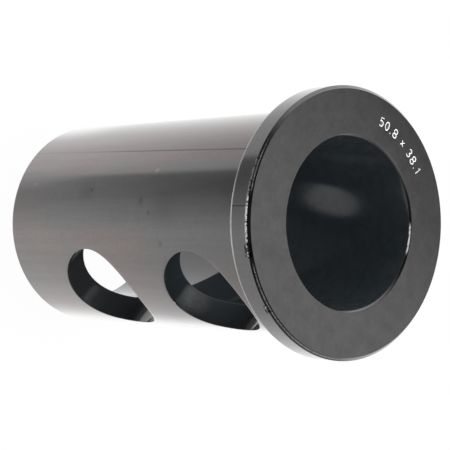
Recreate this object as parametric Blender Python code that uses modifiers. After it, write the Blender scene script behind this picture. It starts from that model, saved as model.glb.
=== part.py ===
"""Flanged tool holder bushing.

A one-piece turned steel sleeve. It stands on its plain end, with the axis of the bore along +Z
and the flange on top. Two round windows, one above the other, open the wall on the -Y side, so
that the clamp screws of the tool block reach the shank of the tool in the bore.

The origin is the centre of the plain end. All sizes are in metres.
"""

import math

import bpy

# Sleeve and bore: 2 inch outside for the tool block, 1-1/2 inch inside for the tool shank
BODY_DIAMETER = 0.0508
WALL_THICKNESS = 0.00635

# Flange that seats on the face of the tool block
FLANGE_STEP = 0.0047625
FLANGE_THICKNESS = 0.00575

# Windows for the clamp screws, and the metal left below, between and above them
WINDOW_COUNT = 2
WINDOW_DIAMETER = 0.0254
PLAIN_END_LAND = 0.0183
WINDOW_BRIDGE = 0.0127
FLANGE_LAND = 0.00845

# Grinding relief in the corner under the flange, so that the ground sleeve seats square on the
# block: its width down the sleeve and out on the flange, and its depth into both
RELIEF_WIDTH = 0.0016
RELIEF_REACH = 0.0005
RELIEF_DEPTH = 0.0003

# Edge chamfers, each the length of one leg at 45 degrees
FLANGE_FRONT_CHAMFER = 0.00075
FLANGE_BACK_CHAMFER = 0.00025
PLAIN_END_CHAMFER = 0.0003
BORE_CHAMFER = 0.00045

# Fineness of the round surfaces, and the angle above which an edge stays sharp
TURNED_STEPS = 144
WINDOW_SIDES = 96
SHARP_ANGLE = math.radians(30)

# Two points of the turned outline closer than this are one point
MERGE_DISTANCE = 0.00001

BODY_RADIUS = BODY_DIAMETER / 2
BORE_RADIUS = BODY_RADIUS - WALL_THICKNESS
FLANGE_RADIUS = BODY_RADIUS + FLANGE_STEP
WINDOW_PITCH = WINDOW_DIAMETER + WINDOW_BRIDGE
WINDOW_CENTRES = [
    PLAIN_END_LAND + WINDOW_DIAMETER / 2 + index * WINDOW_PITCH for index in range(WINDOW_COUNT)
]
FLANGE_SEAT_HEIGHT = WINDOW_CENTRES[-1] + WINDOW_DIAMETER / 2 + FLANGE_LAND
OVERALL_LENGTH = FLANGE_SEAT_HEIGHT + FLANGE_THICKNESS


def clear_scene():
    for old_object in list(bpy.data.objects):
        bpy.data.objects.remove(old_object, do_unlink=True)


def new_collection(name):
    collection = bpy.data.collections.new(name)
    bpy.context.scene.collection.children.link(collection)
    return collection


def move_to_collection(item, collection):
    for current in list(item.users_collection):
        current.objects.unlink(item)
    collection.objects.link(item)


def black_oxide_steel():
    material = bpy.data.materials.new("black_oxide_steel")
    material.use_nodes = True
    shader = material.node_tree.nodes["Principled BSDF"]
    shader.inputs["Base Color"].default_value = (0.16, 0.156, 0.153, 1.0)
    shader.inputs["Metallic"].default_value = 0.9
    shader.inputs["Roughness"].default_value = 0.32
    material.diffuse_color = (0.16, 0.156, 0.153, 1.0)
    return material


def turned_outline():
    """Half section of the sleeve as (radius, height), down the outside and back up the bore."""
    flange_outside = [
        (FLANGE_RADIUS - FLANGE_FRONT_CHAMFER, OVERALL_LENGTH),
        (FLANGE_RADIUS, OVERALL_LENGTH - FLANGE_FRONT_CHAMFER),
        (FLANGE_RADIUS, FLANGE_SEAT_HEIGHT + FLANGE_BACK_CHAMFER),
        (FLANGE_RADIUS - FLANGE_BACK_CHAMFER, FLANGE_SEAT_HEIGHT),
    ]
    relief_radius = BODY_RADIUS - RELIEF_DEPTH
    relief_top = FLANGE_SEAT_HEIGHT + RELIEF_DEPTH
    relief_edge = BODY_RADIUS + RELIEF_REACH
    relief_bottom = FLANGE_SEAT_HEIGHT - RELIEF_WIDTH
    relief = [
        (relief_edge, FLANGE_SEAT_HEIGHT),
        (relief_edge - RELIEF_DEPTH, relief_top),
        (relief_radius, relief_top),
        (relief_radius, relief_bottom + RELIEF_DEPTH),
        (BODY_RADIUS, relief_bottom),
    ]
    plain_end = [
        (BODY_RADIUS, PLAIN_END_CHAMFER),
        (BODY_RADIUS - PLAIN_END_CHAMFER, 0.0),
        (BORE_RADIUS + BORE_CHAMFER, 0.0),
    ]
    bore = [
        (BORE_RADIUS, BORE_CHAMFER),
        (BORE_RADIUS, OVERALL_LENGTH - BORE_CHAMFER),
        (BORE_RADIUS + BORE_CHAMFER, OVERALL_LENGTH),
    ]
    return flange_outside + relief + plain_end + bore


def turn_outline(name, outline, collection):
    """A closed outline in the XZ plane, turned about Z by a Screw modifier."""
    mesh = bpy.data.meshes.new(name)
    points = [(radius, 0.0, height) for radius, height in outline]
    edges = [(index, (index + 1) % len(points)) for index in range(len(points))]
    mesh.from_pydata(points, edges, [])
    turned = bpy.data.objects.new(name, mesh)
    collection.objects.link(turned)

    screw = turned.modifiers.new("turn", "SCREW")
    screw.axis = "Z"
    screw.angle = math.tau
    screw.steps = TURNED_STEPS
    screw.render_steps = TURNED_STEPS
    screw.use_merge_vertices = True
    screw.merge_threshold = MERGE_DISTANCE
    screw.use_smooth_shade = True
    return turned


def window_cutter(number, height, collection):
    """A cylinder along Y from the axis of the bore out through the -Y side of the wall.

    Half a side of turn about its own axis keeps its corners off the facet lines of the sleeve.
    """
    reach = FLANGE_RADIUS
    bpy.ops.mesh.primitive_cylinder_add(
        vertices=WINDOW_SIDES,
        radius=WINDOW_DIAMETER / 2,
        depth=reach,
        location=(0.0, -reach / 2, height),
        rotation=(math.radians(90), math.pi / WINDOW_SIDES, 0.0),
    )
    cutter = bpy.context.active_object
    cutter.name = f"window_cutter_{number}"
    cutter.hide_render = True
    cutter.display_type = "WIRE"
    move_to_collection(cutter, collection)
    return cutter


def cut(item, cutter):
    boolean = item.modifiers.new(f"cut_{cutter.name}", "BOOLEAN")
    boolean.operation = "DIFFERENCE"
    boolean.solver = "EXACT"
    boolean.object = cutter


def apply_modifiers(item):
    graph = bpy.context.evaluated_depsgraph_get()
    finished = bpy.data.meshes.new_from_object(item.evaluated_get(graph), depsgraph=graph)
    outline = item.data
    item.modifiers.clear()
    item.data = finished
    finished.name = item.name
    bpy.data.meshes.remove(outline)


def shade(item, material):
    item.data.shade_smooth()
    item.data.set_sharp_from_angle(angle=SHARP_ANGLE)
    item.data.materials.clear()
    item.data.materials.append(material)


def build_bushing(parts, cutters):
    bushing = turn_outline("bushing", turned_outline(), parts)
    for number, height in enumerate(WINDOW_CENTRES, start=1):
        cut(bushing, window_cutter(number, height, cutters))
    apply_modifiers(bushing)
    shade(bushing, black_oxide_steel())
    return bushing


def main():
    clear_scene()
    parts = new_collection("tool_holder_bushing")
    cutters = new_collection("cutters")
    build_bushing(parts, cutters)


main()
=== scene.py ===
"""Looks of the tool holder bushing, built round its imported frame.

The sleeve is one finely turned mesh that stands for the CAD solid. It has broken edges, the two clamp
windows, an engraved size in plain numbers and a black oxide finish made of nodes. All sizes are in metres,
in the frame of the CAD: +Z runs up the bore from the plain end to the flange, and the windows face -Y.
"""

import math

import bmesh
import bpy
from bpy.props import FloatProperty, FloatVectorProperty, IntProperty, PointerProperty, StringProperty
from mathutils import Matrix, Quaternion, Vector, noise


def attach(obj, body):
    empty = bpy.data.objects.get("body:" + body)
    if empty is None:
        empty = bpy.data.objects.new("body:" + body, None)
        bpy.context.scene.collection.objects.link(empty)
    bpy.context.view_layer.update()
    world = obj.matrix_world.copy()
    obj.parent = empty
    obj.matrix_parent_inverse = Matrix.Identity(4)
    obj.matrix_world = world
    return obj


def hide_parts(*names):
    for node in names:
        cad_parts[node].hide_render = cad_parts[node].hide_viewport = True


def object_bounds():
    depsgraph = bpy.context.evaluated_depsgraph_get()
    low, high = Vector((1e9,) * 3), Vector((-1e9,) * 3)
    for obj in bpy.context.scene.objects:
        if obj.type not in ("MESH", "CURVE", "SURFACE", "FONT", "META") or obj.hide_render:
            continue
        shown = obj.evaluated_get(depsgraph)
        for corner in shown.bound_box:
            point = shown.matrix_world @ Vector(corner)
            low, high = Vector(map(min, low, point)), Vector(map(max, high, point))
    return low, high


bl_info = {
    "name": "Tool Holder Bushing",
    "version": (1, 0, 0),
    "blender": (4, 5, 0),
    "location": "View3D > Sidebar > Bushing",
    "description": "Builds a flanged tool holder bushing with its black oxide finish and a plain studio",
    "category": "Object",
}

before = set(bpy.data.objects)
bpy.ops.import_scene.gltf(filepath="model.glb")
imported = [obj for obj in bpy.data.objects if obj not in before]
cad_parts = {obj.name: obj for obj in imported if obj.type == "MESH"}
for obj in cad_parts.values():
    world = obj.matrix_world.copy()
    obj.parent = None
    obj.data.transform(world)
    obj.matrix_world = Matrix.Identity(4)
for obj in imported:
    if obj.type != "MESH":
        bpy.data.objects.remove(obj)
CAD_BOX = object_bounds()
CAD_SIZE = CAD_BOX[1] - CAD_BOX[0]

NODE = "bushing"
BODY = "root"

# Millimetres in a metre: the finishes are laid out in millimetres
MM = 1000.0

# Fineness of the turned mesh: columns round the axis, and for each window the columns on either side
# of its middle, the rows, the rings from its rim out to the grid, and the steps across its wall
COLUMNS = 320
PATCH_COLUMNS = 50
PATCH_ROWS = 34
PATCH_RINGS = 8
WALL_STEPS = 6

# Steps round each rounded corner, rows on each plain stretch of wall, and how closely the rings of a
# window crowd towards its rim
CORNER_STEPS = 3
PLAIN_ROWS = 8
RING_EASE = 1.25

# How much the large faces outweigh the small ones in the shading
FLAT_WEIGHT = 90

# Material slots of the sleeve
OUTSIDE = 0
INSIDE = 1
ENGRAVED = 2

# Strokes of the engraved signs in a box one unit high: a line is a list of points, and an arc is its
# centre, its two radii and its first and last angle in degrees
SIGNS = {
    "0": (0.56, [("arc", 0.28, 0.5, 0.28, 0.5, 90, 450)]),
    "1": (0.34, [("line", (0.04, 0.78), (0.24, 1.0), (0.24, 0.0))]),
    "3": (0.56, [("arc", 0.26, 0.76, 0.24, 0.24, 150, -90), ("arc", 0.26, 0.26, 0.28, 0.26, 90, -150)]),
    "5": (
        0.56,
        [
            ("line", (0.5, 1.0), (0.08, 1.0), (0.05, 0.56)),
            ("arc", 0.25, 0.33, 0.29, 0.33, 130, -140),
        ],
    ),
    "8": (0.62, [("arc", 0.31, 0.76, 0.27, 0.26, -90, 270), ("arc", 0.31, 0.24, 0.31, 0.26, 90, 450)]),
    "x": (0.5, [("line", (0.02, 0.12), (0.48, 0.72)), ("line", (0.02, 0.72), (0.48, 0.12))]),
    ".": (0.1, [("line", (0.05, -0.03), (0.05, 0.11))]),
    " ": (0.2, []),
}
ARC_STEPS = 14

# Roundness of the engraving tool, and the distance in metres below which its points are one point
TOOL_RESOLUTION = 2
WELD_DISTANCE = 0.000001

# Nicks in the flange's front edge: the worn stretch in degrees from -Y, their share of depth outside
# it, the fineness of the coarse and the fine roughness, and how much of it leaves no nick
NICK_STRETCH = (-66.0, 24.0)
NICK_ELSEWHERE = 0.25
NICK_COARSE = 1500.0
NICK_FINE = 3300.0
NICK_FLOOR = 0.25

# Soft spots on the sleeve: degrees from -Y, height and reach in mm, and strength
SPOTS = [
    (-62.5, 33.0, 1.2, 0.75),
    (-56.0, 53.0, 1.4, 0.6),
    (-49.7, 56.3, 0.9, 0.65),
    (-33.3, 60.3, 1.2, 0.4),
    (-38.0, 22.0, 0.9, 0.3),
    (-62.0, 31.0, 4.5, 0.26),
    (-52.0, 62.0, 7.0, 0.22),
    (-60.0, 84.0, 6.0, 0.24),
]

# Small chips where the oxide is off, written the same way: two lie on the upper window's rim
CHIPS = [
    (2.0, 56.5, 0.5, 0.9),
    (15.8, 59.3, 0.55, 0.9),
    (-72.5, 56.0, 0.9, 0.22),
    (-67.0, 8.0, 0.5, 0.3),
]

# Bright chips in the flange's front edge, in degrees from -Y, and their depth below it and reach in mm
RIM_CHIPS = (-34.8, -32.4, -31.2, -8.6)
RIM_CHIP_DROP = 0.12
RIM_CHIP_REACH = 0.32

# Stretches round the axis in degrees from -Y: where each begins, is full, starts to fade and ends
WARM_STRETCH = (-115.0, -100.0, -82.0, -76.0)
GLINT_STRETCH = (-84.0, -72.0, 30.0, 50.0)
# The next stretch is where the flange's back edge carries a painted highlight
BACK_GLINT_STRETCH = (-66.0, -52.0, -38.0, -22.0)
OILED_RIM_STRETCH = (-8.0, 4.0, 26.0, 32.0)

# Short stretches in the same degrees: the middle of each, half its full length, and half its whole one
GLINT_GAP = (-42.0, 13.0, 17.0)
# The next stretch is a painted highlight on the bore's mouth
MOUTH_GLINT = (125.0, 7.0, 13.0)
# The next stretch is a painted reflection line across the flange's rim
PAINTED_RIM_LINE = (-51.0, 0.1, 0.4)
NICKED_STRETCHES = ((-33.0, 2.4, 3.4), (-7.5, 1.4, 2.4))

# The hairline along the sleeve: its turn at the plain end in degrees, and its drift for each mm up
HAIRLINE_TURN = -89.3
HAIRLINE_DRIFT = 0.07

# Stretch of the noise that makes streaks along the sleeve, and of the one that makes grinding marks
STREAK_STRETCH = 0.04
GRIND_STRETCH = 0.06

# Depth that a bump of full height stands for, in metres
BUMP_DISTANCE = 0.00002

# Share of its lightness that the bore keeps in its mottling, and that its painted reflection keeps away from
# the plain end as painted shade
MOTTLE_SHADE = 0.85
BORE_PAINTED_SHADE = 0.53

# Dust and painted sheen on the upper window's wall: its place, in mm
DUST_AND_SHEEN_PLACE = (4.4, -20.8, 57.3)

# The camera's sensor in mm, and the nearest distance that it sees in metres
SENSOR_WIDTH = 36.0
CLIP_START = 0.01

# How far the floor lies below the plain end and the black card above it, in metres, and the card's
# far corners in degrees from +X
FLOOR_DROP = 0.00002
FLAG_LIFT = 0.0006
FLAG_CORNERS = (150.0, 180.0, 215.0, 250.0)


def metres(name, description, default):
    return FloatProperty(name=name, description=description, default=default, unit="LENGTH", precision=5)


def colour(name, description, default):
    return FloatVectorProperty(
        name=name, description=description, default=default, subtype="COLOR", size=3, min=0.0, max=1.0
    )


def portion(name, description, default):
    return FloatProperty(name=name, description=description, default=default, min=0.0, max=1.0)


def degrees(name, description, default):
    return FloatProperty(
        name=name, description=description, default=math.radians(default), subtype="ANGLE", unit="ROTATION"
    )


class BushingSizes(bpy.types.PropertyGroup):
    """Sizes of the sleeve, its flange and its windows."""

    length: metres("Length", "Overall length, from the CAD", CAD_SIZE.z)
    flange_diameter: metres("Flange diameter", "Outside of the flange, from the CAD", CAD_SIZE.x)
    flange_thickness: metres("Flange thickness", "Height of the flange along the axis", 0.00575)
    body_diameter: metres("Body diameter", "Outside of the sleeve", 0.0508)
    bore_diameter: metres("Bore diameter", "Inside of the sleeve", 0.0381)
    window_count: IntProperty(name="Windows", description="Clamp windows in line", default=2, min=1)
    window_diameter: metres("Window diameter", "Diameter of each clamp window", 0.0254)
    window_pitch: metres("Window pitch", "Distance between window centres", 0.0381)
    first_window: metres("First window", "Height of the lowest window's centre", 0.031)
    relief_width: metres("Relief width", "Length of the relief under the flange", 0.0016)
    relief_reach: metres("Relief reach", "How far the relief goes out under the flange", 0.0005)
    relief_depth: metres("Relief depth", "Depth of the relief", 0.0003)
    front_chamfer: metres("Front chamfer", "Chamfer on the flange's front edge", 0.00075)
    end_chamfer: metres("End chamfer", "Chamfer on the plain end's outer edge", 0.0003)
    bore_chamfer: metres("Bore chamfer", "Chamfer at both mouths of the bore", 0.00045)
    edge_round: metres("Edge rounding", "Radius on every turned corner", 0.0001)
    back_round: metres("Back edge rounding", "Radius on the flange's back edge", 0.00025)
    window_break: metres("Window edge break", "How far the windows' edges are broken", 0.00012)
    nick_depth: metres("Nick depth", "Depth of the nicks in the flange's front edge", 0.00012)


class EngravingSettings(bpy.types.PropertyGroup):
    """The size engraved on the front of the flange."""

    text: StringProperty(name="Text", description="Plain numbers", default="50.8 x 38.1")
    height: metres("Height", "Height of a numeral", 0.00195)
    line_width: metres("Line width", "Width of the engraving tool", 0.00023)
    depth: metres("Depth", "Depth of the engraved line", 0.00008)
    spacing: FloatProperty(name="Spacing", description="Gap between signs, in heights", default=0.4)
    base_radius: metres("Base line radius", "Distance of the base line from the axis", 0.0235)
    middle_angle: degrees("Middle", "Angle of the text's middle from +X", 94.0)


class FinishSettings(bpy.types.PropertyGroup):
    """Colours of the finishes."""

    oxide: colour("Oxide", "Black oxide on the ground steel", (0.161, 0.16, 0.159))
    warm_oxide: colour("Warm oxide", "Thinner, browner black oxide", (0.186, 0.157, 0.153))
    bore_oxide: colour("Bore oxide", "Black oxide in the bore", (0.07, 0.086, 0.098))
    # One oxide in two copies: a darker, painted-shade one on the upper window's wall and a lighter,
    # painted-light one on the lower window's wall
    shaded_window_oxide: colour("Window oxide", "Black oxide on the upper window's wall", (0.014, 0.018, 0.021))
    lit_window_oxide: colour("Low oxide", "Black oxide on the lower window's wall", (0.03, 0.033, 0.036))
    # Bare steel also colours the painted highlights on the flange's chamfer and back edge and at the bore's
    # mouth
    bare_steel_and_glint: colour("Bare steel", "Steel where the oxide is worn off", (0.8, 0.79, 0.78))
    # Partly painted reflection: this grey also widens and brightens the reflected band on the upper window's
    # wall
    dust_and_sheen: colour("Dust", "Grey dust on the upper window's own wall", (0.16, 0.16, 0.16))
    engraving: colour("Engraving", "White fill in the engraved lines", (0.86, 0.86, 0.85))
    # A brighter, metallic copy of the bore's oxide: a painted reflection by the plain end
    reflecting_bore_steel: colour("Bore steel", "Thin oxide in the bore by the plain end", (0.12, 0.12, 0.122))
    # This dark colour also paints a reflection line across the flange's rim
    stain_and_painted_line: colour("Stain", "Hairlines and handling spots", (0.045, 0.044, 0.045))


class StageSettings(bpy.types.PropertyGroup):
    """Camera, floor and light."""

    camera_place: FloatVectorProperty(
        name="Camera place",
        description="Where the camera stands",
        default=(-0.16588, -0.17147, 0.33045),
        subtype="TRANSLATION",
        unit="LENGTH",
        precision=5,
    )
    camera_heading: degrees("Camera heading", "Turn of the camera's line of sight from +Y to +X", 44.147)
    camera_drop: degrees("Camera drop", "How far the camera looks down", 49.23)
    camera_roll: degrees("Camera roll", "Turn of the camera about its line of sight", 90.01)
    lens: FloatProperty(name="Lens", description="Focal length on a 36 mm sensor, in mm", default=122.176)
    floor_size: metres("Floor size", "Side of the floor", 6.0)
    flag_apex: FloatVectorProperty(
        name="Flag apex",
        description="Corner of the black card",
        default=(-0.0101, -0.0111),
        size=2,
        unit="LENGTH",
        precision=5,
    )
    flag_size: metres("Flag size", "Length of the black card", 1.5)
    floor_share: portion("Floor share", "Share of the floor's white that takes no shadow", 0.97)
    horizon_light: portion("Horizon light", "Brightness of the horizon behind the bushing", 0.92)
    overhead_light: portion("Overhead light", "Brightness of the soft light overhead", 0.62)
    low_light: portion("Low light", "Brightness of the low horizon all round", 0.4)
    room_light: portion("Room light", "Brightness of the rest of the room", 0.03)
    lamp_place: FloatVectorProperty(
        name="Lamp place",
        description="Where the lamp hangs",
        default=(0.1, 0.25, 0.9),
        subtype="TRANSLATION",
        unit="LENGTH",
    )
    lamp_size: metres("Lamp size", "Side of the square lamp", 0.8)
    lamp_power: FloatProperty(
        name="Lamp power", description="Power of the lamp", default=14.0, unit="POWER"
    )


class Value:
    """A number that varies over a surface. Arithmetic on it adds Math nodes."""

    def __init__(self, shader, socket):
        self.shader = shader
        self.socket = socket

    def math(self, operation, *values):
        return self.shader.node("ShaderNodeMath", {"operation": operation}, dict(enumerate(values)))

    def __add__(self, other):
        return self.math("ADD", self, other)

    def __sub__(self, other):
        return self.math("SUBTRACT", self, other)

    def __mul__(self, other):
        return self.math("MULTIPLY", self, other)

    def __truediv__(self, other):
        return self.math("DIVIDE", self, other)

    def __pow__(self, other):
        return self.math("POWER", self, other)

    def __rsub__(self, other):
        return self.math("SUBTRACT", other, self)

    def __abs__(self):
        return self.math("ABSOLUTE", self)

    __radd__ = __add__
    __rmul__ = __mul__

    def most(self, other):
        return self.math("MAXIMUM", self, other)

    def least(self, other):
        return self.math("MINIMUM", self, other)

    def ramp(self, low, high, first=0.0, last=1.0):
        """first below low and last above high, with a smooth rise between them."""
        settings = {"interpolation_type": "SMOOTHSTEP"}
        places = {"Value": self, "From Min": low, "From Max": high, "To Min": first, "To Max": last}
        return self.shader.node("ShaderNodeMapRange", settings, places)

    def fade(self, low, high):
        """1 below low and 0 above high."""
        return self.ramp(low, high, 1.0, 0.0)

    def band(self, begin, full, fading, end):
        """1 from full to fading, and 0 before begin and after end."""
        return self.ramp(begin, full) * self.fade(fading, end)

    def near(self, centre, reach, end):
        """1 within reach of the centre, and 0 beyond end from it."""
        return abs(self - centre).fade(reach, end)


class Shader:
    """The nodes of one material or world."""

    def __init__(self, owner):
        owner.use_nodes = True
        self.tree = owner.node_tree
        self.tree.nodes.clear()

    def node(self, kind, settings=None, inputs=None, output=0):
        """Adds a node with its settings and inputs, and returns one of its outputs."""
        made = self.tree.nodes.new(kind)
        for key, value in (settings or {}).items():
            setattr(made, key, value)
        for key, value in (inputs or {}).items():
            if isinstance(value, Value):
                self.tree.links.new(value.socket, made.inputs[key])
            else:
                made.inputs[key].default_value = value
        return Value(self, made.outputs[output])

    def mix(self, factor, first, second, blend="MIX"):
        """Mixes two colours."""
        settings = {"data_type": "RGBA", "blend_type": blend}
        return self.node("ShaderNodeMix", settings, {0: factor, 6: rgba(first), 7: rgba(second)}, 2)

    def parts(self, vector):
        return [self.node("ShaderNodeSeparateXYZ", None, {0: vector}, index) for index in range(3)]

    def vector(self, x, y, z):
        return self.node("ShaderNodeCombineXYZ", None, {0: x, 1: y, 2: z})

    def noise(self, vector, scale, detail=2.0, roughness=0.5):
        inputs = {"Vector": vector, "Scale": scale, "Detail": detail, "Roughness": roughness}
        return self.node("ShaderNodeTexNoise", None, inputs)

    def bump(self, height, strength):
        inputs = {"Strength": strength, "Distance": BUMP_DISTANCE, "Height": height}
        return self.node("ShaderNodeBump", None, inputs)

    def mix_surfaces(self, factor, first, second):
        return self.node("ShaderNodeMixShader", None, {0: factor, 1: first, 2: second})

    def output(self, kind, surface):
        end = self.tree.nodes.new(kind)
        self.tree.links.new(surface.socket, end.inputs["Surface"])


def rgba(value):
    """A colour's three numbers with an alpha of 1, and a socket as it is."""
    return value if isinstance(value, Value) else (*value, 1.0)


def grey(level):
    """A plain grey colour."""
    return rgba((level, level, level))


def darker(colour_value, factor):
    return [factor * part for part in colour_value]


def new_material(name):
    material = bpy.data.materials.new(name)
    return material, Shader(material)


class SteelCoordinates:
    """Places on the turned steel and its main sizes, in millimetres, and angles in degrees from -Y."""

    def __init__(self, shader, sizes):
        self.bore = sizes.bore_diameter / 2 * MM
        self.body = sizes.body_diameter / 2 * MM
        self.rim = sizes.flange_diameter / 2 * MM
        self.chamfer = sizes.front_chamfer * MM
        self.top = sizes.length * MM
        self.seat = self.top - sizes.flange_thickness * MM
        self.front = self.top - self.chamfer

        place = shader.node("ShaderNodeTexCoord", None, None, "Object")
        self.place = shader.node("ShaderNodeVectorMath", {"operation": "SCALE"}, {0: place, "Scale": MM})
        self.x, self.y, self.z = shader.parts(self.place)
        self.radius = (self.x * self.x + self.y * self.y) ** 0.5
        turn = self.x.math("ARCTAN2", self.x, self.y * -1.0)
        arc = turn * self.body
        self.turn = turn * math.degrees(1.0)
        self.rolled = shader.vector(arc, self.z, self.radius)
        self.along = shader.vector(arc, self.z * STREAK_STRETCH, self.radius)
        self.around = shader.vector(arc * GRIND_STRETCH, self.z, self.radius)

    def on_rim(self):
        """1 on the flange's outside."""
        return self.radius.ramp(self.rim - 0.1, self.rim - 0.02)

    def point(self, x, y, z):
        """Distance from a point."""
        across = self.x - x
        deep = self.y - y
        up = self.z - z
        return (across * across + deep * deep + up * up) ** 0.5

    def ring(self, radius, height):
        """Distance from a circle round the axis."""
        across = self.radius - radius
        up = self.z - height
        return (across * across + up * up) ** 0.5

    def spot(self, turn, height, reach, strength, radius=None):
        """A soft round spot on the sleeve, or on a surface of another radius."""
        side = (self.turn - turn) * math.radians(radius or self.body)
        up = self.z - height
        return ((side * side + up * up) ** 0.5).ramp(0.0, reach, strength, 0.0)


def oxide_tone(shader, at, on_body, mottle, streak, grind):
    """Light and dark of the oxide, with wide patches on the sleeve and smudges on the flange's face, and
    painted shade on the face's side away from the windows.
    """
    patch = shader.noise(at.along, 0.22, 3.0, 0.6)
    smudge = shader.noise(at.place, 0.35, 3.0, 0.55)
    on_face = at.z.ramp(at.top - 0.05, at.top - 0.01)
    # Painted shade: the flange's face grows darker on its side away from the windows
    painted_far_shade = (at.x * 0.34 + at.y * 0.94).ramp(8.0, 26.0)
    tone = 1.0 + (mottle - 0.5) * 0.34 + (streak - 0.5) * 0.3 + (grind - 0.5) * 0.1
    tone = tone + (patch - 0.5) * on_body * 0.5
    return tone + on_face * ((smudge - 0.5) * 0.55 - painted_far_shade * 0.22)


def oxide_warmth(shader, at, on_body):
    """Where the sleeve's oxide is thinner and brown: in clouds, least behind and in a cool band along it."""
    cloud = shader.noise(at.place, 0.05, 2.0).ramp(0.35, 0.6, 0.4, 1.0)
    cloud = cloud.most(at.turn.band(*WARM_STRETCH))
    wider = at.z.ramp(50.0, 66.0)
    cool_band = (at.turn + wider * 6.0).ramp(-74.0, -68.0) * at.z.ramp(2.0, 20.0)
    cool_band = cool_band * (at.turn - wider * 18.0).fade(-48.0, -36.0)
    windows_side = (at.x * 0.69 + at.y * 0.72).ramp(-6.0, 14.0, 1.0, 0.4)
    return cloud * on_body * (1.0 - cool_band) * windows_side


def stains_and_painted_line(at, on_body):
    """Dark marks: the hairline along the sleeve and spots, and a painted reflection line across the flange's
    rim.
    """
    hairline = at.turn.near(at.z * HAIRLINE_DRIFT + HAIRLINE_TURN, 0.2, 0.7)
    hairline = hairline * at.z.ramp(15.0, 45.0, 0.3, 1.0) * on_body
    # Painted reflection: a dark line across the flange's rim where its reflection steps
    stain_and_painted_line = hairline.most(at.turn.near(*PAINTED_RIM_LINE) * at.on_rim())
    for spot in SPOTS:
        stain_and_painted_line = stain_and_painted_line.most(at.spot(*spot) * on_body)
    return stain_and_painted_line


def edge_nicks(shader, at):
    """Dark nicks in two short stretches of the flange's front edge."""
    first, second = [at.turn.near(*stretch) for stretch in NICKED_STRETCHES]
    nicks = at.ring(at.rim, at.front).fade(0.8, 1.0) * first.most(second)
    return nicks * shader.noise(at.place, 1.4, 1.0).ramp(0.45, 0.5)


def edge_wear_and_glints(shader, at, on_body):
    """Where the oxide is worn off: the flange's front and back edges, and chips. Painted highlights in bare
    steel: a glint along the flange's chamfer, a streak at the bore's mouth, and a brighter stretch of the
    back edge.
    """
    grit = shader.noise(at.place, 2.1, 2.0, 0.6)
    front_stretch = at.turn.ramp(-78.0, -66.0, 0.0, 0.35).most(at.turn.ramp(-58.0, -53.0))
    front_stretch = front_stretch * at.turn.ramp(-37.5, -36.0, 1.0, 0.1) * at.turn.fade(-30.0, -26.0)
    front_edge = at.ring(at.rim, at.front - 0.02).fade(0.2, 0.32) * grit.ramp(0.42, 0.5) * front_stretch

    # Painted highlight: a glint line in bare steel along the inner edge of the flange's chamfer
    glint_stretch = at.turn.band(*GLINT_STRETCH) * (1.0 - at.turn.near(*GLINT_GAP))
    glint = at.ring(at.rim - at.chamfer * 0.55, at.top - at.chamfer * 0.45)
    glint = glint.ramp(0.06, 0.2, 0.42, 0.0) * glint_stretch * grit.ramp(0.35, 0.6, 0.5, 1.0)

    # The back edge is worn all round and carries a painted highlight, brightest on one stretch
    brightness = 0.25 + grit * 0.4 + at.turn.band(*BACK_GLINT_STRETCH) * 0.4
    back_edge_wear_and_glint = at.ring(at.rim, at.seat + 0.15).fade(0.25, 0.45) * brightness
    # Painted highlight in bare steel on a stretch of the bore's mouth
    mouth = at.ring(at.bore + 0.15, at.top - 0.3).fade(0.16, 0.26)
    mouth = mouth * at.turn.near(*MOUTH_GLINT) * grit.ramp(0.38, 0.5)

    wear_and_glint = front_edge.most(glint).most(back_edge_wear_and_glint).most(mouth)
    for chip in CHIPS:
        wear_and_glint = wear_and_glint.most(at.spot(*chip) * on_body)
    for turn in RIM_CHIPS:
        wear_and_glint = wear_and_glint.most(at.spot(turn, at.front - RIM_CHIP_DROP, RIM_CHIP_REACH, 1.0, at.rim))
    return wear_and_glint


def oil_film(shader, at, on_body):
    """How much a film of oil mirrors: most at a shallow look, on the +X side and by the plain end."""
    facing = shader.node("ShaderNodeLayerWeight", None, {"Blend": 0.5}, "Facing")
    oiled = at.turn.ramp(-15.0, 10.0).most(at.z.ramp(4.0, 30.0, 0.8, 0.0)) * on_body
    oiled_rim = at.on_rim() * at.turn.band(*OILED_RIM_STRETCH)
    return (facing.ramp(0.7, 0.93, 0.0, 0.85) * oiled).most(oiled_rim * 0.07)


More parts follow.
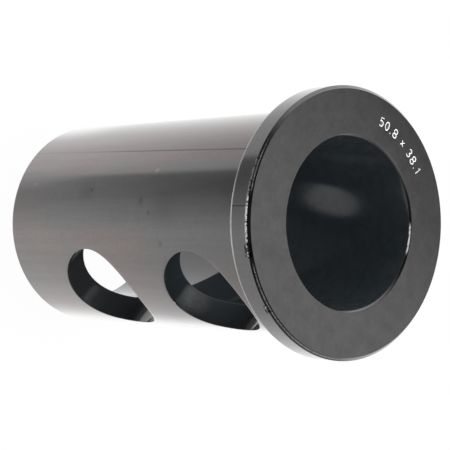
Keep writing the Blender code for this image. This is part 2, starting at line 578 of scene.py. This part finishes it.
def black_oxide(sizes, colours):
    """Ground steel with black oxide: satin, a little warm in places, worn bright on its edges, oiled, and
    with painted highlights, painted shade and a painted reflection line in its colour.
    """
    material, shader = new_material("black_oxide_outside")
    at = SteelCoordinates(shader, sizes)
    on_body = at.radius.fade(at.body + 0.3, at.body + 0.5) * at.z.fade(at.seat - 2.0, at.seat - 1.0)
    mottle = shader.noise(at.rolled, 0.9, 4.0, 0.62)
    streak = shader.noise(at.along, 1.6, 4.0, 0.65)
    grind = shader.noise(at.around, 9.0, 2.0)
    tone = oxide_tone(shader, at, on_body, mottle, streak, grind)
    stain_and_painted_line = stains_and_painted_line(at, on_body)
    nicks = edge_nicks(shader, at)
    wear_and_glint = edge_wear_and_glints(shader, at, on_body)

    base = shader.mix(oxide_warmth(shader, at, on_body), colours.oxide, colours.warm_oxide)
    base = shader.mix(1.0, base, shader.vector(tone, tone, tone), "MULTIPLY")
    base = shader.mix(stain_and_painted_line.most(nicks), base, colours.stain_and_painted_line)
    # Bare steel where the oxide is worn off, and for the painted highlights
    base = shader.mix(wear_and_glint, base, colours.bare_steel_and_glint)
    roughness = 0.2 + (mottle - 0.5) * 0.1 + stain_and_painted_line * 0.1
    height = (grind - 0.5) * 0.5 + (streak - 0.5) * 0.5 - stain_and_painted_line * 0.4
    steel = shader.node(
        "ShaderNodeBsdfPrincipled",
        None,
        {
            "Base Color": base,
            "Metallic": 1.0 - wear_and_glint * 0.75,
            "Roughness": roughness + wear_and_glint * 0.2,
            "Coat Weight": 1.0 - wear_and_glint.most(nicks),
            "Coat Roughness": 0.12,
            "Normal": shader.bump(height, 0.08),
        },
    )
    oil = shader.node("ShaderNodeBsdfGlossy", None, {"Color": grey(1.0), "Roughness": 0.12})
    film = oil_film(shader, at, on_body) * (1.0 - wear_and_glint)
    shader.output("ShaderNodeOutputMaterial", shader.mix_surfaces(film, steel, oil))
    return material


def bore_oxide(sizes, colours):
    """Black oxide in the bore and on the windows' walls: darker and smoother, with a painted reflection by
    the plain end and painted light and shade on the windows' walls.
    """
    material, shader = new_material("black_oxide_bore")
    at = SteelCoordinates(shader, sizes)
    mottle = shader.noise(at.place, 0.5, 3.0, 0.6)
    hone = shader.noise(at.around, 6.0, 2.0)
    speck = shader.noise(at.place, 1.5, 3.0, 0.7)
    on_window = at.radius.ramp(at.bore + 0.1, at.bore + 0.3)

    # Painted reflection: by the plain end the bore takes a brighter, metallic copy of its finish, edged along
    # the shape of a reflection of the open end
    reflection_height = (abs(at.turn) * 0.4 - 4.0).least(38.0)
    reflection_fade = abs(at.turn - 80.0).ramp(27.0, 50.0, 1.2, 16.0)
    reflecting_bore = (at.z - reflection_height).fade(0.0, reflection_fade) * (1.0 - on_window)
    # Painted shade: this copy darkens away from the plain end
    shaded = darker(colours.reflecting_bore_steel, BORE_PAINTED_SHADE)
    reflecting_bore_colour = shader.mix(at.z.ramp(6.0, 18.0), colours.reflecting_bore_steel, shaded)

    mottled = darker(colours.bore_oxide, MOTTLE_SHADE)
    oxide = shader.mix(mottle.ramp(0.35, 0.65), colours.bore_oxide, mottled)
    # Painted light and shade: over part of its turn the upper window's wall takes the darker copy of the
    # oxide, and elsewhere the walls take the lighter one
    upper = at.z.ramp(47.0, 53.0) * at.turn.fade(8.0, 26.0)
    window = shader.mix(upper, colours.lit_window_oxide, colours.shaded_window_oxide)
    oxide = shader.mix(on_window, oxide, window)
    # Grey on the upper window's wall: partly real grime, partly a painted reflection that widens the
    # reflected band there
    dust_and_sheen_mask = at.point(*DUST_AND_SHEEN_PLACE).ramp(1.6, 4.6, 0.34, 0.0) * speck.ramp(0.3, 0.7, 0.6, 1.0)
    oxide = shader.mix(dust_and_sheen_mask * on_window, oxide, colours.dust_and_sheen)

    dull = (1.0 - reflecting_bore) * at.z.fade(46.0, 56.0) * (1.0 - on_window)
    steel = shader.node(
        "ShaderNodeBsdfPrincipled",
        None,
        {
            "Base Color": shader.mix(reflecting_bore, oxide, reflecting_bore_colour),
            "Metallic": reflecting_bore,
            "Roughness": 0.14 + dull * 0.6 - reflecting_bore * 0.06 + (mottle - 0.5) * 0.04,
            "Coat Weight": reflecting_bore.most(on_window * at.turn.ramp(20.0, 24.0)),
            "Coat Roughness": 0.1,
            "Normal": shader.bump(hone, 0.05),
        },
    )
    shader.output("ShaderNodeOutputMaterial", steel)
    return material


def engraving_fill(colours):
    """White fill, a little uneven, in the engraved lines."""
    material, shader = new_material("engraving_fill")
    place = shader.node("ShaderNodeTexCoord", None, None, "Object")
    patchy = shader.noise(place, 2600.0, 3.0).ramp(0.3, 0.7)
    base = shader.mix(patchy, darker(colours.engraving, 0.8), colours.engraving)
    fill = shader.node("ShaderNodeBsdfPrincipled", None, {"Base Color": base, "Roughness": 0.6})
    shader.output("ShaderNodeOutputMaterial", fill)
    return material


def rounded_corner(before, corner, after, radius):
    """Points of a small arc in place of a corner of the outline."""
    back = (before - corner).normalized()
    ahead = (after - corner).normalized()
    reach = radius / math.tan(back.angle(ahead) / 2)
    points = []
    for step in range(CORNER_STEPS + 1):
        share = step / CORNER_STEPS
        pull_back = back * reach * (1 - share) ** 2
        points.append(corner + pull_back + ahead * reach * share**2)
    return points


def rows_between(start, end, count):
    """Points spread evenly between two points of the outline, without its ends."""
    return [start.lerp(end, step / count) for step in range(1, count)]


def sleeve_outline(sizes):
    """Half section as (radius, height), down the outside and up the bore, with every corner rounded.

    Returns its points, and the index of the first row of the windows on the skin and in the bore.
    """
    body = sizes.body_diameter / 2
    bore = sizes.bore_diameter / 2
    rim = sizes.flange_diameter / 2
    top = sizes.length
    seat = top - sizes.flange_thickness
    relief = sizes.relief_depth
    edge = sizes.edge_round
    band_bottom = sizes.first_window - sizes.window_pitch / 2
    band_top = band_bottom + sizes.window_count * sizes.window_pitch
    band_rows = sizes.window_count * PATCH_ROWS

    outside = [
        (rim - sizes.front_chamfer, top, edge),
        (rim, top - sizes.front_chamfer, edge),
        (rim, seat, sizes.back_round),
        (body + sizes.relief_reach, seat, edge / 2),
        (body + sizes.relief_reach - relief, seat + relief, edge / 2),
        (body - relief, seat + relief, edge),
        (body - relief, seat - sizes.relief_width + relief, edge / 2),
        (body, seat - sizes.relief_width, edge),
    ]
    plain_end = [
        (body, sizes.end_chamfer, edge),
        (body - sizes.end_chamfer, 0.0, edge),
        (bore + sizes.bore_chamfer, 0.0, edge),
        (bore, sizes.bore_chamfer, edge),
    ]
    mouth = [
        (bore, top - sizes.bore_chamfer, edge),
        (bore + sizes.bore_chamfer, top, edge),
    ]
    corners = outside + plain_end + mouth
    places = [Vector((radius, height)) for radius, height, _ in corners]
    arcs = [
        rounded_corner(places[index - 1], places[index], places[(index + 1) % len(places)], corner[2])
        for index, corner in enumerate(corners)
    ]

    points = []
    for arc in arcs[: len(outside)]:
        points += arc
    skin_row = len(points)
    skin_top = Vector((body, band_top))
    skin_bottom = Vector((body, band_bottom))
    points += [skin_top, *rows_between(skin_top, skin_bottom, band_rows), skin_bottom]
    points += rows_between(skin_bottom, arcs[len(outside)][0], PLAIN_ROWS)
    for arc in arcs[len(outside) : len(outside) + len(plain_end)]:
        points += arc
    bore_bottom = Vector((bore, band_bottom))
    bore_top = Vector((bore, band_top))
    points += rows_between(points[-1], bore_bottom, PLAIN_ROWS)
    bore_row = len(points)
    points += [bore_bottom, *rows_between(bore_bottom, bore_top, band_rows), bore_top]
    points += rows_between(bore_top, arcs[-2][0], PLAIN_ROWS)
    for arc in arcs[-2:]:
        points += arc
    return points, skin_row, bore_row


def column_angle(column):
    """Angle of a column from -Y towards +X."""
    return column * math.tau / COLUMNS


def wall_place(radius, turn, height):
    """A point at an angle from -Y towards +X."""
    return Vector((radius * math.sin(turn), -radius * math.cos(turn), height))


def nick_of(place, sizes):
    """How deep the flange's front edge is nicked at a place: most on the worn stretch of it."""
    turn = math.degrees(math.atan2(place.x, -place.y))
    first, last = NICK_STRETCH
    worn = 1.0 if first < turn < last else NICK_ELSEWHERE
    rough = noise.noise(place * NICK_COARSE) + noise.noise(place * NICK_FINE) / 2
    return sizes.nick_depth * worn * max(0.0, rough - NICK_FLOOR)


class SleeveMesh:
    """The turned grid of the sleeve and the windows let into it."""

    def __init__(self, sizes):
        self.sizes = sizes
        self.mesh = bmesh.new()
        self.points, self.skin_row, self.bore_row = sleeve_outline(sizes)
        self.band_rows = sizes.window_count * PATCH_ROWS
        self.cells = {}

    def in_band(self, row):
        """Whether the strip from this row to the next lies between the windows' top and bottom."""
        on_skin = self.skin_row <= row < self.skin_row + self.band_rows
        in_bore = self.bore_row <= row < self.bore_row + self.band_rows
        return on_skin or in_bore

    def vert(self, row, column):
        """The vertex at a row and a column of the grid, made when it is first asked for."""
        row %= len(self.points)
        column %= COLUMNS
        if (row, column) not in self.cells:
            radius, height = self.points[row]
            place = wall_place(radius, column_angle(column), height)
            if self.is_front_edge(row):
                outward = Vector((place.x, place.y, radius)).normalized()
                place -= outward * nick_of(place, self.sizes)
            self.cells[row, column] = self.mesh.verts.new(place)
        return self.cells[row, column]

    def is_front_edge(self, row):
        """The arc between the flange's front chamfer and its rim is the second corner of the outline."""
        first = CORNER_STEPS + 1
        return first <= row < first + CORNER_STEPS + 1

    def face(self, verts, material):
        made = self.mesh.faces.new(verts)
        made.material_index = material
        made.smooth = True

    def turn_grid(self):
        """Every quad of the turned grid outside the windows' patches."""
        for row in range(len(self.points)):
            inside = self.is_inside(row)
            for column in range(-PATCH_COLUMNS, COLUMNS - PATCH_COLUMNS):
                if self.in_band(row) and column < PATCH_COLUMNS:
                    continue
                corners = ((row, column), (row, column + 1), (row + 1, column + 1), (row + 1, column))
                self.face([self.vert(*corner) for corner in corners], INSIDE if inside else OUTSIDE)

    def is_inside(self, row):
        """Whether the strip from this row to the next is the wall of the bore."""
        bore = self.sizes.bore_diameter / 2
        ends = (self.points[row], self.points[(row + 1) % len(self.points)])
        return all(abs(radius - bore) < self.sizes.edge_round for radius, _ in ends)

    def border(self, first_row, rising):
        """The grid's vertices round a patch, from its lower right corner, with their turn and height."""
        rows = [first_row + (step if rising else PATCH_ROWS - step) for step in range(PATCH_ROWS + 1)]
        side = PATCH_COLUMNS
        cells = [(row, side) for row in rows[:-1]]
        cells += [(rows[-1], column) for column in range(side, -side, -1)]
        cells += [(row, -side) for row in reversed(rows[1:])]
        cells += [(rows[0], column) for column in range(-side, side)]
        return [(self.vert(*cell), column_angle(cell[1]), self.points[cell[0]][1]) for cell in cells]

    def rim_angles(self, border, centre):
        """The angle round the window that each border vertex leads to, halfway between even and radial."""
        half_turn = column_angle(PATCH_COLUMNS)
        half_height = self.sizes.window_pitch / 2
        start = -math.pi * PATCH_ROWS / len(border)
        angles = []
        for index, (_, turn, height) in enumerate(border):
            even = start + index * math.tau / len(border)
            radial = math.atan2((height - centre) / half_height, turn / half_turn)
            radial += math.tau * round((even - radial) / math.tau)
            angles.append((even + radial) / 2)
        return angles

    def patch_rings(self, border, angles, centre, wall):
        """Rings of vertices on one skin of the wall, from the window's broken rim out to the grid."""
        reach = self.sizes.window_diameter / 2 + self.sizes.window_break
        rings = []
        for step in range(PATCH_RINGS):
            share = (step / PATCH_RINGS) ** RING_EASE
            ring = []
            for angle, (_, turn, height) in zip(angles, border):
                rim_turn = math.asin(reach * math.cos(angle) / wall)
                rim_height = centre + reach * math.sin(angle)
                at_turn = rim_turn + (turn - rim_turn) * share
                at_height = rim_height + (height - rim_height) * share
                ring.append(self.mesh.verts.new(wall_place(wall, at_turn, at_height)))
            rings.append(ring)
        rings.append([vert for vert, _, _ in border])
        return rings

    def broken_edge(self, skin_ring, angles, centre, wall, inward):
        """Rings across the broken edge, from the skin to the window's own wall."""
        radius = self.sizes.window_diameter / 2
        rings = []
        for step in range(1, CORNER_STEPS + 1):
            share = step / CORNER_STEPS
            ring = []
            for angle, start in zip(angles, skin_ring):
                across = radius * math.cos(angle)
                edge = Vector((across, -math.sqrt(wall**2 - across**2), centre + radius * math.sin(angle)))
                end = edge + Vector((0.0, inward * self.sizes.window_break, 0.0))
                place = start.co * (1 - share) ** 2 + edge * 2 * share * (1 - share) + end * share**2
                ring.append(self.mesh.verts.new(place))
            rings.append(ring)
        return rings

    def wall_rings(self, outer, inner):
        """Rings between the two ends of a window's own wall."""
        return [
            [
                self.mesh.verts.new(start.co.lerp(end.co, step / WALL_STEPS))
                for start, end in zip(outer, inner)
            ]
            for step in range(1, WALL_STEPS)
        ]

    def bridge(self, rings, material):
        for first, second in zip(rings, rings[1:]):
            for index in range(len(first)):
                after = (index + 1) % len(first)
                self.face([first[index], first[after], second[after], second[index]], material)

    def window(self, number):
        """One window, from the grid on the skin through the wall to the grid in the bore."""
        centre = self.sizes.first_window + number * self.sizes.window_pitch
        from_top = self.sizes.window_count - 1 - number
        skin_border = self.border(self.skin_row + from_top * PATCH_ROWS, rising=False)
        bore_border = self.border(self.bore_row + number * PATCH_ROWS, rising=True)
        body = self.sizes.body_diameter / 2
        bore = self.sizes.bore_diameter / 2
        angles = self.rim_angles(skin_border, centre)
        skin = self.patch_rings(skin_border, angles, centre, body)
        lining = self.patch_rings(bore_border, angles, centre, bore)
        outer = self.broken_edge(skin[0], angles, centre, body, 1.0)
        inner = self.broken_edge(lining[0], angles, centre, bore, -1.0)
        wall = self.wall_rings(outer[-1], inner[-1])
        self.bridge([*reversed(skin), *outer], OUTSIDE)
        self.bridge([outer[-1], *wall, *reversed(inner), *lining], INSIDE)

    def finish(self, name, materials):
        bmesh.ops.recalc_face_normals(self.mesh, faces=self.mesh.faces)
        mesh = bpy.data.meshes.new(name)
        self.mesh.to_mesh(mesh)
        self.mesh.free()
        for material in materials:
            mesh.materials.append(material)
        sleeve = bpy.data.objects.new(name, mesh)
        bpy.context.scene.collection.objects.link(sleeve)
        return sleeve


def even_normals(piece):
    """Lets the large faces set the shading, so that flats look flat beside small rounded corners."""
    weighted = piece.modifiers.new("even_normals", "WEIGHTED_NORMAL")
    weighted.mode = "FACE_AREA"
    weighted.weight = FLAT_WEIGHT


def stroke_points(stroke):
    """The points of one stroke of a sign, in a box one unit high."""
    kind, *shape = stroke
    if kind == "line":
        return [Vector(point) for point in shape]
    middle_x, middle_y, reach_x, reach_y, first, last = shape
    points = []
    for step in range(ARC_STEPS + 1):
        turn = math.radians(first + (last - first) * step / ARC_STEPS)
        points.append(Vector((middle_x + reach_x * math.cos(turn), middle_y + reach_y * math.sin(turn))))
    return points


def on_flange(point, run, engraving, sizes, lift):
    """A point of the text, bent round the bore onto the flange. The text reads clockwise from above."""
    radius = engraving.base_radius + point.y * engraving.height
    turn = engraving.middle_angle - (run + point.x * engraving.height) / engraving.base_radius
    return Vector((radius * math.cos(turn), radius * math.sin(turn), sizes.length + lift))


def text_strokes(engraving, sizes, lift):
    """Every stroke of the text as a list of points on the flange."""
    gap = engraving.spacing
    width = sum(SIGNS[sign][0] + gap for sign in engraving.text) - gap
    run = -width * engraving.height / 2
    strokes = []
    for sign in engraving.text:
        sign_width, sign_strokes = SIGNS[sign]
        for stroke in sign_strokes:
            strokes.append([on_flange(point, run, engraving, sizes, lift) for point in stroke_points(stroke)])
        run += (sign_width + gap) * engraving.height
    return strokes


def engraving_tool(strokes, radius):
    """A round tool run along every stroke, as one mesh."""
    curve = bpy.data.curves.new("engraving_tool", "CURVE")
    curve.dimensions = "3D"
    curve.bevel_depth = radius
    curve.bevel_resolution = TOOL_RESOLUTION
    curve.use_fill_caps = True
    for stroke in strokes:
        spline = curve.splines.new("POLY")
        spline.points.add(len(stroke) - 1)
        for spline_point, place in zip(spline.points, stroke):
            spline_point.co = (*place, 1.0)
    path = bpy.data.objects.new("engraving_path", curve)
    bpy.context.scene.collection.objects.link(path)
    graph = bpy.context.evaluated_depsgraph_get()
    mesh = bpy.data.meshes.new_from_object(path.evaluated_get(graph), depsgraph=graph)
    bpy.data.objects.remove(path, do_unlink=True)
    welder = bmesh.new()
    welder.from_mesh(mesh)
    bmesh.ops.remove_doubles(welder, verts=welder.verts, dist=WELD_DISTANCE)
    welder.to_mesh(mesh)
    welder.free()
    tool = bpy.data.objects.new("engraving_tool", mesh)
    bpy.context.scene.collection.objects.link(tool)
    return tool


def apply_modifiers(piece):
    graph = bpy.context.evaluated_depsgraph_get()
    finished = bpy.data.meshes.new_from_object(piece.evaluated_get(graph), depsgraph=graph)
    before = piece.data
    piece.modifiers.clear()
    piece.data = finished
    finished.name = piece.name
    bpy.data.meshes.remove(before)


class MakeSleeve(bpy.types.Operator):
    """Builds the turned sleeve with its flange, bore and windows"""

    bl_idname = "bushing.make_sleeve"
    bl_label = "Make Sleeve"

    def execute(self, context):
        sizes = context.scene.bushing_sizes
        colours = context.scene.bushing_finish
        sleeve_mesh = SleeveMesh(sizes)
        sleeve_mesh.turn_grid()
        for number in range(sizes.window_count):
            sleeve_mesh.window(number)
        materials = [black_oxide(sizes, colours), bore_oxide(sizes, colours), engraving_fill(colours)]
        sleeve = sleeve_mesh.finish("flanged_sleeve", materials)
        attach(sleeve, BODY)
        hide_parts(NODE)
        return {"FINISHED"}


class EngraveSize(bpy.types.Operator):
    """Cuts the size into the front of the flange, as narrow round-bottomed lines with a white fill"""

    bl_idname = "bushing.engrave_size"
    bl_label = "Engrave Size"

    def execute(self, context):
        engraving = context.scene.bushing_engraving
        sizes = context.scene.bushing_sizes
        sleeve = bpy.data.objects["flanged_sleeve"]
        half = engraving.line_width / 2
        radius = (half**2 + engraving.depth**2) / (2 * engraving.depth)
        strokes = text_strokes(engraving, sizes, radius - engraving.depth)
        tool = engraving_tool(strokes, radius)
        tool.data.materials.append(sleeve.data.materials[ENGRAVED])
        cut = sleeve.modifiers.new("engrave", "BOOLEAN")
        cut.operation = "DIFFERENCE"
        cut.solver = "EXACT"
        cut.use_self = True
        cut.material_mode = "TRANSFER"
        cut.object = tool
        apply_modifiers(sleeve)
        bpy.data.objects.remove(tool, do_unlink=True)
        even_normals(sleeve)
        return {"FINISHED"}


class SetCamera(bpy.types.Operator):
    """Places the camera at the view of the photograph"""

    bl_idname = "bushing.set_camera"
    bl_label = "Set Camera"

    def execute(self, context):
        stage = context.scene.bushing_stage
        camera = bpy.data.objects.new("camera", bpy.data.cameras.new("camera"))
        context.scene.collection.objects.link(camera)
        heading = stage.camera_heading
        level = math.cos(stage.camera_drop)
        sight = Vector((math.sin(heading) * level, math.cos(heading) * level, -math.sin(stage.camera_drop)))
        roll = Quaternion((0.0, 0.0, 1.0), stage.camera_roll)
        camera.location = stage.camera_place
        camera.rotation_mode = "QUATERNION"
        camera.rotation_quaternion = sight.to_track_quat("-Z", "Y") @ roll
        camera.data.sensor_width = SENSOR_WIDTH
        camera.data.lens = stage.lens
        camera.data.clip_start = CLIP_START
        context.scene.camera = camera
        return {"FINISHED"}


def studio_world(stage):
    """A white backdrop for the camera.

    Metal sees a bright horizon behind the bushing, a soft light overhead, a low grey horizon all round
    and a dark room in between.
    """
    world = bpy.data.worlds.new("studio")
    shader = Shader(world)
    direction = shader.node("ShaderNodeTexCoord", None, None, "Generated")
    x, y, z = shader.parts(direction)
    behind = (x * 0.26 + y * 0.97).ramp(-0.05, 0.55)
    horizon = behind * z.fade(0.12, 0.75) * stage.horizon_light + stage.room_light
    overhead = (x * 0.4412 - y * 0.0973 + z * 0.8921).ramp(0.66, 0.84, 0.0, stage.overhead_light)
    room = z.ramp(0.22, 0.4, stage.low_light, stage.room_light)
    camera_ray = shader.node("ShaderNodeLightPath", None, None, "Is Camera Ray")
    strength = camera_ray.most(room.most(horizon).most(overhead))
    light = shader.node("ShaderNodeBackground", None, {"Color": grey(1.0), "Strength": strength})
    shader.output("ShaderNodeOutputWorld", light)
    return world


def floor_material(stage):
    """White paper that is clear from below.

    The camera and reflections see it plain white, with some of its own light and shadow. In reflections
    it darkens a little away from the bushing, towards the camera.
    """
    material, shader = new_material("white_paper")
    camera_ray, glossy_ray, clear_ray = [
        shader.node("ShaderNodeLightPath", None, None, f"Is {kind} Ray")
        for kind in ("Camera", "Glossy", "Transmission")
    ]
    place = shader.node("ShaderNodeTexCoord", None, None, "Object")
    x, y, z = shader.parts(place)
    heading = stage.camera_heading
    away = (x * x + y * y) ** 0.5
    nearer = (x * -math.sin(heading) + y * -math.cos(heading)) / away
    falling = away.ramp(0.02, 0.11, 0.0, 0.34) * nearer.ramp(-0.7, 0.3) * glossy_ray
    white = shader.node("ShaderNodeEmission", None, {"Color": grey(1.0), "Strength": 1.0 - falling})
    paper = shader.node("ShaderNodeBsdfDiffuse", None, {"Color": grey(0.9)})
    share_of_white = camera_ray.most(glossy_ray).most(clear_ray) * stage.floor_share
    surface = shader.mix_surfaces(share_of_white, paper, white)
    below = shader.node("ShaderNodeNewGeometry", None, None, "Backfacing")
    clear = shader.node("ShaderNodeBsdfTransparent")
    shader.output("ShaderNodeOutputMaterial", shader.mix_surfaces(below, surface, clear))
    return material


def add_floor(stage):
    bpy.ops.mesh.primitive_plane_add(size=stage.floor_size, location=(0.0, 0.0, -FLOOR_DROP))
    floor = bpy.context.active_object
    floor.name = "floor"
    floor.data.materials.append(floor_material(stage))


def add_lamp(stage):
    """A soft square lamp that faces the bushing. It isn't mirrored in the steel."""
    light = bpy.data.lights.new("top_lamp", "AREA")
    light.size = stage.lamp_size
    light.energy = stage.lamp_power
    lamp = bpy.data.objects.new("top_lamp", light)
    bpy.context.scene.collection.objects.link(lamp)
    lamp.location = stage.lamp_place
    lamp.rotation_mode = "QUATERNION"
    lamp.rotation_quaternion = (-Vector(stage.lamp_place)).to_track_quat("-Z", "Y")
    lamp.visible_glossy = False


def flag_material():
    """Black card that starts sharply on one side and fades out round its apex, and towards the bushing."""
    material, shader = new_material("black_flag")
    place = shader.node("ShaderNodeTexCoord", None, None, "Object")
    x, y, z = shader.parts(place)
    away = (x * x + y * y) ** 0.5
    turn = y.math("ARCTAN2", y * -1.0, x * -1.0) * math.degrees(1.0)
    start = away.ramp(0.014, 0.04, -23.0, -13.5)
    softness = away.ramp(0.014, 0.04, 30.0, 4.0)
    edge = (turn - start).ramp(0.0, softness)
    dark = edge * turn.fade(2.0, 62.0) * away.ramp(0.002, 0.098, 0.42, 0.7)
    clear = shader.node("ShaderNodeBsdfTransparent")
    black = shader.node("ShaderNodeBsdfDiffuse", None, {"Color": grey(0.02)})
    shader.output("ShaderNodeOutputMaterial", shader.mix_surfaces(dark, clear, black))
    return material


def add_flag(stage):
    """A black card low beside the bushing, for the dark band in the sleeve. Only reflections show it."""
    mesh = bpy.data.meshes.new("black_flag")
    turns = [math.radians(corner) for corner in FLAG_CORNERS]
    corners = [(stage.flag_size * math.cos(turn), stage.flag_size * math.sin(turn), 0.0) for turn in turns]
    mesh.from_pydata([(0.0, 0.0, 0.0), *corners], [], [range(len(corners) + 1)])
    mesh.materials.append(flag_material())
    flag = bpy.data.objects.new("black_flag", mesh)
    bpy.context.scene.collection.objects.link(flag)
    flag.location = (*stage.flag_apex, FLAG_LIFT)
    flag.visible_camera = False
    flag.visible_diffuse = False
    flag.visible_shadow = False
    flag.visible_transmission = False


class SetStage(bpy.types.Operator):
    """Lays the white floor and the black card, hangs the lamp and sets the world"""

    bl_idname = "bushing.set_stage"
    bl_label = "Set Stage"

    def execute(self, context):
        scene = context.scene
        stage = scene.bushing_stage
        scene.view_settings.view_transform = "Standard"
        scene.world = studio_world(stage)
        add_floor(stage)
        add_flag(stage)
        add_lamp(stage)
        return {"FINISHED"}


OPERATORS = (SetCamera, SetStage, MakeSleeve, EngraveSize)
SETTINGS = {
    "bushing_sizes": BushingSizes,
    "bushing_engraving": EngravingSettings,
    "bushing_finish": FinishSettings,
    "bushing_stage": StageSettings,
}


class BushingPanel(bpy.types.Panel):
    """Lists the settings and the steps in order"""

    bl_idname = "VIEW3D_PT_bushing"
    bl_label = "Tool Holder Bushing"
    bl_space_type = "VIEW_3D"
    bl_region_type = "UI"
    bl_category = "Bushing"

    def draw(self, context):
        layout = self.layout
        for step in OPERATORS:
            layout.operator(step.bl_idname)
        for name, group in SETTINGS.items():
            box = layout.box()
            settings = getattr(context.scene, name)
            for key in group.__annotations__:
                box.prop(settings, key)


def register():
    for item in (*SETTINGS.values(), *OPERATORS, BushingPanel):
        bpy.utils.register_class(item)
    for name, group in SETTINGS.items():
        setattr(bpy.types.Scene, name, PointerProperty(type=group))


def unregister():
    for name in SETTINGS:
        delattr(bpy.types.Scene, name)
    for item in reversed((*SETTINGS.values(), *OPERATORS, BushingPanel)):
        bpy.utils.unregister_class(item)


def main():
    register()
    bpy.ops.bushing.set_camera()
    bpy.ops.bushing.set_stage()
    bpy.ops.bushing.make_sleeve()
    bpy.ops.bushing.engrave_size()


if __name__ == "__main__":
    main()
